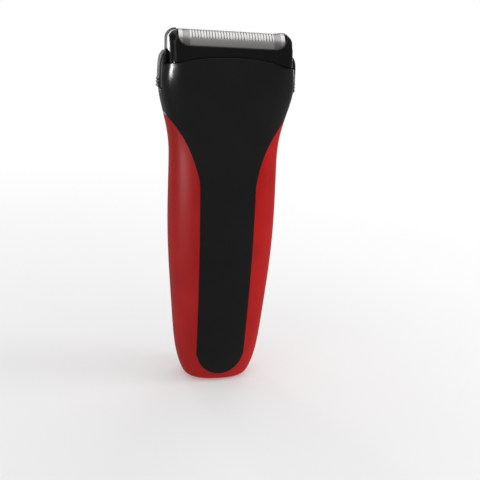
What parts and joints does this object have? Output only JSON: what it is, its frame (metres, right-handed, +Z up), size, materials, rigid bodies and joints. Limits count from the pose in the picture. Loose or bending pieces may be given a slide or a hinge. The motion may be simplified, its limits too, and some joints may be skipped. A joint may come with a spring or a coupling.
{
  "type": "foil shaver",
  "caption": "Cordless foil shaver: waisted two-tone grip, lift-off cassette with floating foils and a centre trimmer, side release buttons, power button.",
  "frame": {"origin": "centre of the flat base under the grip, on the plane the shaver stands on", "axes": "+Z up the grip to the foils, X along the foils, +Y towards the power button side; the plain grip side faces -Y"},
  "size_m": [0.0604, 0.0371, 0.1594],
  "materials": {
    "red_shell": "satin red",
    "grip_black": "soft-touch matte",
    "panel_black": "high gloss",
    "housing_black": "moulded matte",
    "seal_rubber": "smooth rubber",
    "screw_steel": "zinc plated",
    "socket_black": "moulded",
    "pin_plating": "nickel plated",
    "chassis_white": "moulded",
    "battery_sleeve": "shrink sleeve",
    "tab_nickel": "nickel strip",
    "board_green": "solder mask",
    "component_black": "moulded",
    "button_black": "gloss",
    "ring_chrome": "bright",
    "lens_clear": "frosted",
    "can_steel": "plated",
    "terminal_brass": "bright",
    "bush_bronze": "sintered",
    "ferrite": "sintered",
    "core_steel": "laminated",
    "shaft_steel": "ground",
    "cam_brass": "turned",
    "acetal_white": "acetal",
    "spring_steel": "drawn wire",
    "cassette_black": "high gloss",
    "foil_nickel": "electroformed",
    "blade_steel": "ground",
    "acetal_black": "acetal"
  },
  "bodies": {
    "grip": {"rear_shell": "red_shell", "front_shell": "red_shell", "rear_panel": "grip_black", "front_panel": "panel_black", "head_housing": "housing_black", "bulkhead_gasket": "seal_rubber", "housing_screws": "screw_steel", "charging_socket": "socket_black", "socket_gasket": "seal_rubber", "contact_pins": "pin_plating", "inner_frame": "chassis_white", "battery": "battery_sleeve", "battery_tabs": "tab_nickel", "circuit_board": "board_green", "board_components": "component_black", "tact_switch": "component_black", "button_ring": "ring_chrome", "indicator_lenses": "lens_clear", "motor_can": "can_steel", "motor_end_bell": "acetal_black", "motor_terminals": "terminal_brass", "motor_bushes": "bush_bronze", "motor_magnets": "ferrite", "motor_bracket": "can_steel", "motor_screws": "screw_steel", "bracket_screws": "screw_steel", "bridge_flexures": "spring_steel", "drive_seal": "seal_rubber", "release_spring_right": "spring_steel", "release_spring_left": "spring_steel"},
    "rotor": {"armature": "core_steel", "motor_shaft": "shaft_steel", "eccentric_cam": "cam_brass", "crank_pin": "shaft_steel", "crank_bush": "acetal_white"},
    "bridge": {"drive_bridge": "acetal_white", "drive_pins": "shaft_steel"},
    "cassette": {"cassette_frame": "cassette_black", "rear_foil_springs": "spring_steel", "front_foil_springs": "spring_steel", "trimmer_springs": "spring_steel"},
    "rear_foil_unit": {"rear_foil": "foil_nickel", "rear_foil_carrier": "acetal_black"},
    "front_foil_unit": {"front_foil": "foil_nickel", "front_foil_carrier": "acetal_black"},
    "rear_cutter": {"rear_cutter_blades": "blade_steel", "rear_cutter_holder": "acetal_white"},
    "front_cutter": {"front_cutter_blades": "blade_steel", "front_cutter_holder": "acetal_white"},
    "trimmer_unit": {"trimmer_comb": "blade_steel", "trimmer_carrier": "acetal_black"},
    "trimmer_cutter": {"trimmer_blade": "blade_steel"},
    "release_left": {"release_button_left": "button_black"},
    "release_right": {"release_button_right": "button_black"},
    "power_key": {"power_button": "button_black"},
    "switch_key": {"switch_plunger": "acetal_white"}
  },
  "joints": [
    {"name": "motor_spin", "type": "hinge", "parent": "grip", "child": "rotor", "pos_m": [0, 0, 0.112], "axis": [0, 0, 1], "continuous": true},
    {"name": "bridge_slide", "type": "slide", "parent": "grip", "child": "bridge", "axis": [1, 0, 0], "range_m": [-0.0012, 0.0012], "stiffness_N_per_m": 150, "deforming": ["bridge_flexures", "drive_seal"]},
    {"name": "cassette_lift", "type": "slide", "parent": "grip", "child": "cassette", "axis": [0, 0, 1], "range_m": [0, 0.03]},
    {"name": "rear_foil_float", "type": "slide", "parent": "cassette", "child": "rear_foil_unit", "axis": [0, 0, 1], "range_m": [-0.002, 0], "stiffness_N_per_m": 250, "springref_m": 0.001, "deforming": ["rear_foil_springs"]},
    {"name": "front_foil_float", "type": "slide", "parent": "cassette", "child": "front_foil_unit", "axis": [0, 0, 1], "range_m": [-0.002, 0], "stiffness_N_per_m": 250, "springref_m": 0.001, "deforming": ["front_foil_springs"]},
    {"name": "trimmer_float", "type": "slide", "parent": "cassette", "child": "trimmer_unit", "axis": [0, 0, 1], "range_m": [-0.0018, 0], "stiffness_N_per_m": 200, "springref_m": 0.001, "deforming": ["trimmer_springs"]},
    {"name": "rear_cutter_slide", "type": "slide", "parent": "rear_foil_unit", "child": "rear_cutter", "axis": [1, 0, 0], "range_m": [-0.0012, 0.0012]},
    {"name": "front_cutter_slide", "type": "slide", "parent": "front_foil_unit", "child": "front_cutter", "axis": [1, 0, 0], "range_m": [-0.0012, 0.0012]},
    {"name": "trimmer_cutter_slide", "type": "slide", "parent": "trimmer_unit", "child": "trimmer_cutter", "axis": [1, 0, 0], "range_m": [-0.0012, 0.0012]},
    {"name": "release_left_press", "type": "slide", "parent": "grip", "child": "release_left", "axis": [1, 0, 0], "range_m": [0, 0.0015], "stiffness_N_per_m": 500, "springref_m": -0.0005, "deforming": ["release_spring_left"]},
    {"name": "release_right_press", "type": "slide", "parent": "grip", "child": "release_right", "axis": [-1, 0, 0], "range_m": [0, 0.0015], "stiffness_N_per_m": 500, "springref_m": -0.0005, "deforming": ["release_spring_right"]},
    {"name": "power_press", "type": "slide", "parent": "grip", "child": "power_key", "axis": [0, -1, 0], "range_m": [0, 0.0005], "stiffness_N_per_m": 1500, "springref_m": -0.0004},
    {"name": "switch_press", "type": "slide", "parent": "grip", "child": "switch_key", "axis": [0, -1, 0], "range_m": [0, 0.0005]}
  ],
  "couplings": [
    {"joint": "rear_cutter_slide", "follows": "bridge_slide", "ratio": 1},
    {"joint": "front_cutter_slide", "follows": "bridge_slide", "ratio": 1},
    {"joint": "trimmer_cutter_slide", "follows": "bridge_slide", "ratio": 1},
    {"joint": "switch_press", "follows": "power_press", "ratio": 1}
  ]
}
